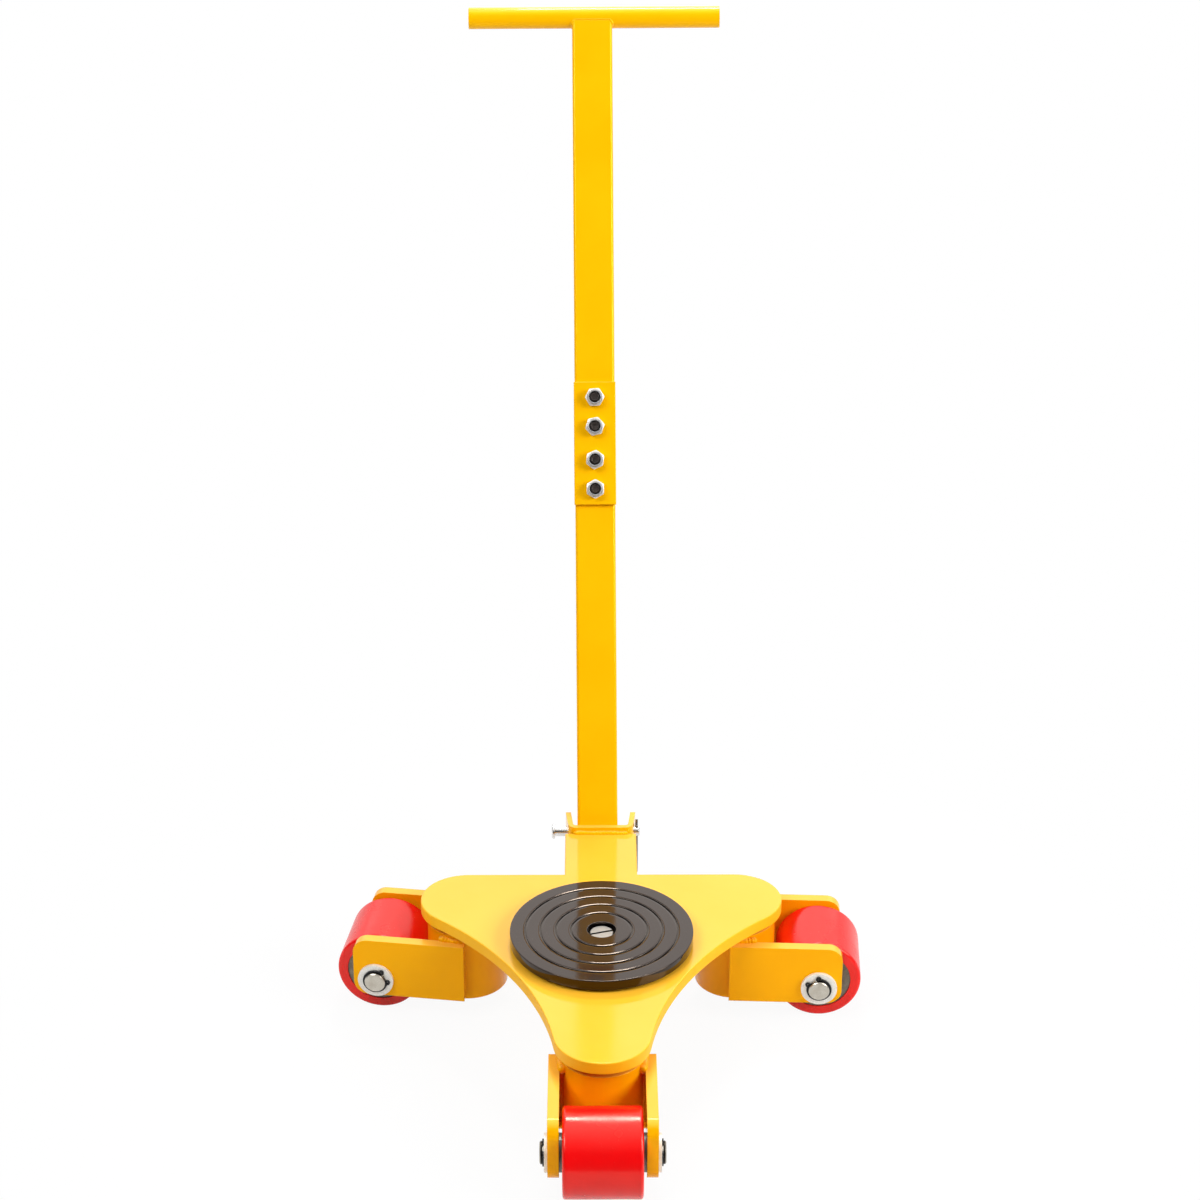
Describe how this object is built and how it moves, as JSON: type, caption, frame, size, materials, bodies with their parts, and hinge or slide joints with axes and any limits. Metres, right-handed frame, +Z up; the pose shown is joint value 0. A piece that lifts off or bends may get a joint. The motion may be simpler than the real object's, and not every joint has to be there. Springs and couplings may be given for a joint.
{
  "type": "steerable machine skate",
  "caption": "Low three-lobed steel dolly on swivel roller casters, with a turning grooved load cap and a bolted two-piece pull handle pinned in a clevis.",
  "frame": {"origin": "centre of the load cap's top face, on the cap's turning axis", "axes": "+Z up along the cap's axis, +Y towards the handle, +X to the right for someone facing the handle from the front caster"},
  "size_m": [0.5012, 0.8479, 0.839],
  "materials": {
    "yellow_paint": "gloss powder coat",
    "black_cap": "black gloss coat with fine turned rings",
    "zinc_plate": "bright zinc plate",
    "spring_wire": "drawn spring wire",
    "dark_bolt": "dark oiled steel",
    "turned_steel": "turned and faced",
    "bearing_steel": "ground",
    "black_spring_steel": "black phosphate",
    "red_tread": "cast polyurethane, glossy",
    "iron_core": "machined casting"
  },
  "bodies": {
    "chassis": {"base_plate": "yellow_paint", "cap_pivot_post": "turned_steel", "cap_screw": "zinc_plate", "cap_lower_race": "bearing_steel", "drawbar_clevis": "yellow_paint", "clevis_pin": "zinc_plate", "pin_clip": "spring_wire", "kingpin_front": "turned_steel", "kingpin_left": "turned_steel", "kingpin_right": "turned_steel", "kingpin_nut_front": "zinc_plate", "kingpin_nut_left": "zinc_plate", "kingpin_nut_right": "zinc_plate", "swivel_upper_race_front": "bearing_steel", "swivel_upper_race_left": "bearing_steel", "swivel_upper_race_right": "bearing_steel"},
    "load_cap": {"load_cap": "black_cap", "cap_upper_race": "bearing_steel", "cap_ball_cage": "bearing_steel"},
    "handle": {"lower_handle_tube": "yellow_paint", "upper_handle_tube": "yellow_paint", "splice_plate": "yellow_paint", "splice_bolts": "dark_bolt", "splice_nuts": "zinc_plate", "splice_washers": "zinc_plate", "grip_bar": "yellow_paint"},
    "caster_front": {"swivel_housing_front": "yellow_paint", "fork_plate_left_front": "yellow_paint", "fork_plate_right_front": "yellow_paint", "swivel_thrust_bearing_front": "bearing_steel", "pivot_bearing_front": "bearing_steel", "axle_front": "turned_steel", "axle_washers_front": "zinc_plate", "axle_circlips_front": "black_spring_steel"},
    "roller_front": {"roller_core_front": "iron_core", "roller_tread_front": "red_tread", "roller_bearings_front": "bearing_steel"},
    "caster_left": {"swivel_housing_left": "yellow_paint", "fork_plate_left_left": "yellow_paint", "fork_plate_right_left": "yellow_paint", "swivel_thrust_bearing_left": "bearing_steel", "pivot_bearing_left": "bearing_steel", "axle_left": "turned_steel", "axle_washers_left": "zinc_plate", "axle_circlips_left": "black_spring_steel"},
    "roller_left": {"roller_core_left": "iron_core", "roller_tread_left": "red_tread", "roller_bearings_left": "bearing_steel"},
    "caster_right": {"swivel_housing_right": "yellow_paint", "fork_plate_left_right": "yellow_paint", "fork_plate_right_right": "yellow_paint", "swivel_thrust_bearing_right": "bearing_steel", "pivot_bearing_right": "bearing_steel", "axle_right": "turned_steel", "axle_washers_right": "zinc_plate", "axle_circlips_right": "black_spring_steel"},
    "roller_right": {"roller_core_right": "iron_core", "roller_tread_right": "red_tread", "roller_bearings_right": "bearing_steel"}
  },
  "joints": [
    {"name": "cap_turn", "type": "hinge", "parent": "chassis", "child": "load_cap", "pos_m": [0, 0, 0], "axis": [0, 0, 1], "continuous": true},
    {"name": "swivel_front", "type": "hinge", "parent": "chassis", "child": "caster_front", "pos_m": [0, -0.148, 0], "axis": [0, 0, 1], "continuous": true},
    {"name": "roll_front", "type": "hinge", "parent": "caster_front", "child": "roller_front", "pos_m": [0, -0.228, -0.08], "axis": [1, 0, 0], "continuous": true},
    {"name": "swivel_left", "type": "hinge", "parent": "chassis", "child": "caster_left", "pos_m": [-0.12817, 0.074, 0], "axis": [0, 0, 1], "continuous": true},
    {"name": "roll_left", "type": "hinge", "parent": "caster_left", "child": "roller_left", "pos_m": [-0.20733, 0.08555, -0.08], "axis": [-0.1444, -0.9895, 0], "continuous": true},
    {"name": "swivel_right", "type": "hinge", "parent": "chassis", "child": "caster_right", "pos_m": [0.12817, 0.074, 0], "axis": [0, 0, 1], "continuous": true},
    {"name": "roll_right", "type": "hinge", "parent": "caster_right", "child": "roller_right", "pos_m": [0.20807, 0.06995, -0.08], "axis": [0.0506, 0.9987, 0], "continuous": true},
    {"name": "handle_tilt", "type": "hinge", "parent": "chassis", "child": "handle", "pos_m": [0, 0.213, -0.022], "axis": [1, 0, 0], "range_deg": [0, 38]}
  ]
}
